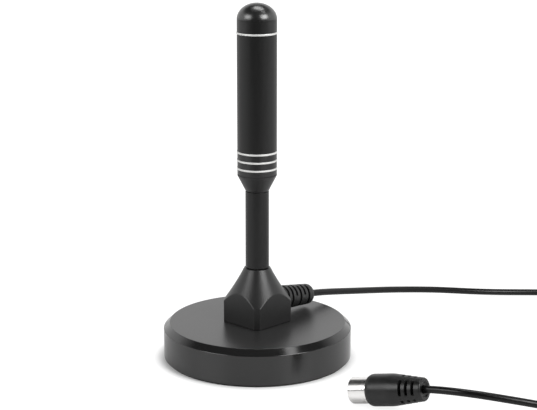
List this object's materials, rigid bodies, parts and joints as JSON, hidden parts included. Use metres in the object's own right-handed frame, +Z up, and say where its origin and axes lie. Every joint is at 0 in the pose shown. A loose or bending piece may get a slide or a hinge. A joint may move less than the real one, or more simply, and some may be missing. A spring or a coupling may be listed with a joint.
{
  "type": "indoor tv antenna",
  "caption": "Indoor tv antenna: short round mast on a weighted magnetic puck base, with a square conical mount, strain relief, coaxial lead and coaxial plug.",
  "frame": {"origin": "centre of the underside of the base's foot pad, on the surface the antenna stands on", "axes": "+Z up along the mast; +X to the right, towards the side on which the coiled lead lies; the viewer of the picture looks along +Y"},
  "size_m": [0.2057, 0.1575, 0.1373],
  "materials": {
    "base_gloss": "fine satin top and glossy side, black",
    "mount_satin": "fine spark-eroded satin, black",
    "mast_black": "black anodised, fine satin",
    "neck_black": "satin black",
    "band_black": "black with fine turning lines",
    "cap_gloss": "glossy black",
    "trim_bright": "bright satin metal",
    "relief_pvc": "matte moulded black",
    "lead_pvc": "slightly glossy black",
    "plug_pvc": "matte moulded black",
    "plug_nickel": "bright nickel plate",
    "insulator_white": "natural white",
    "tie_black": "matte black",
    "pad_rubber": "fine foamed black",
    "cover_black": "matte black",
    "magnet_grey": "sintered dark grey",
    "zinc_steel": "zinc plated",
    "turned_brass": "turned",
    "bare_copper": "bare copper"
  },
  "bodies": {
    "root": {"foot_pad": "pad_rubber", "bottom_cover": "cover_black", "cover_screws": "zinc_steel", "ring_magnet": "magnet_grey", "weight_plate": "zinc_steel", "base_housing": "base_gloss", "mast_mount": "mount_satin", "mount_screws": "zinc_steel", "threaded_bush": "turned_brass", "mast_stud": "turned_brass", "mast_stem": "mast_black", "mast_neck": "neck_black", "trim_ring_1": "trim_bright", "spacer_band_1": "band_black", "trim_ring_2": "trim_bright", "spacer_band_2": "band_black", "trim_ring_3": "trim_bright", "mast_tube": "mast_black", "trim_ring_4": "trim_bright", "dome_cap": "cap_gloss", "radiator_rod": "turned_brass", "rod_guide": "insulator_white", "strain_relief": "relief_pvc", "core_wire": "bare_copper", "lead_antenna": "lead_pvc", "lead_coil": "lead_pvc", "coil_tie": "tie_black", "lead_plug": "lead_pvc", "plug_body": "plug_pvc", "plug_shell": "plug_nickel", "plug_insulator": "insulator_white", "plug_pin": "plug_nickel"}
  },
  "joints": []
}
